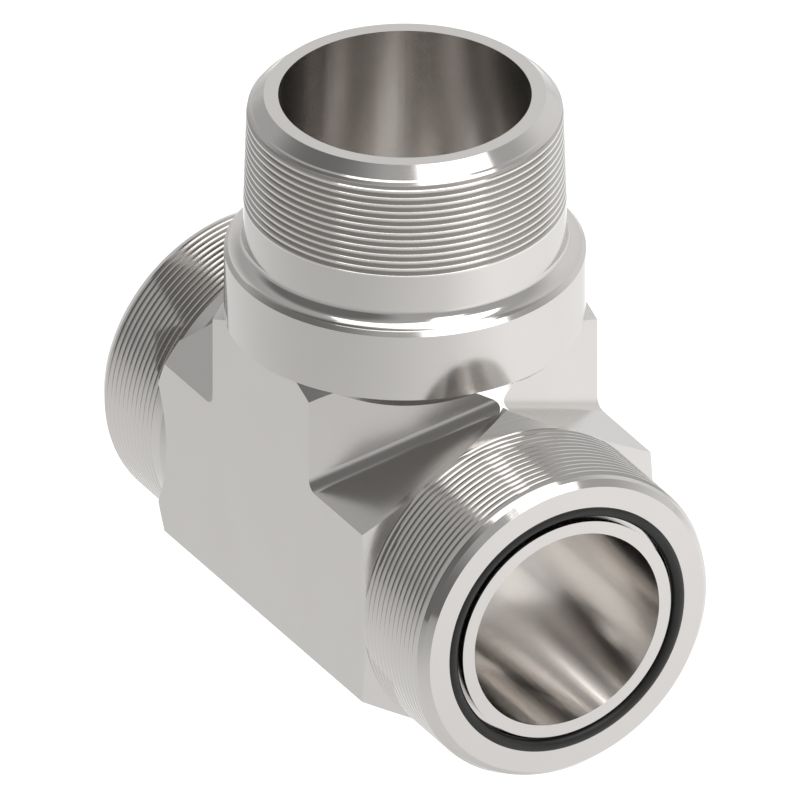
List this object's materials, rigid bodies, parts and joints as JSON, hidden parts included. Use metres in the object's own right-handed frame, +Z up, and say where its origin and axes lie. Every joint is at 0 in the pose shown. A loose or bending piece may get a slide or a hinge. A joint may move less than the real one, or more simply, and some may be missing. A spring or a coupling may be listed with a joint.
{
  "type": "tee adapter",
  "caption": "Steel hydraulic branch tee with O-ring face seal threads on the straight run, a male taper pipe thread on the branch and a hexagon body.",
  "frame": {"origin": "where the axis of the straight run crosses the axis of the branch", "axes": "+X along the run to the end that the picture shows, +Z up the branch, +Y away from the camera's near side"},
  "size_m": [0.0976, 0.0544, 0.0973],
  "materials": {
    "plated_steel": "bright plated, fine turned",
    "black_rubber": "smooth moulded"
  },
  "bodies": {
    "root": {"body": "plated_steel", "front_o_ring": "black_rubber", "rear_o_ring": "black_rubber"}
  },
  "joints": []
}
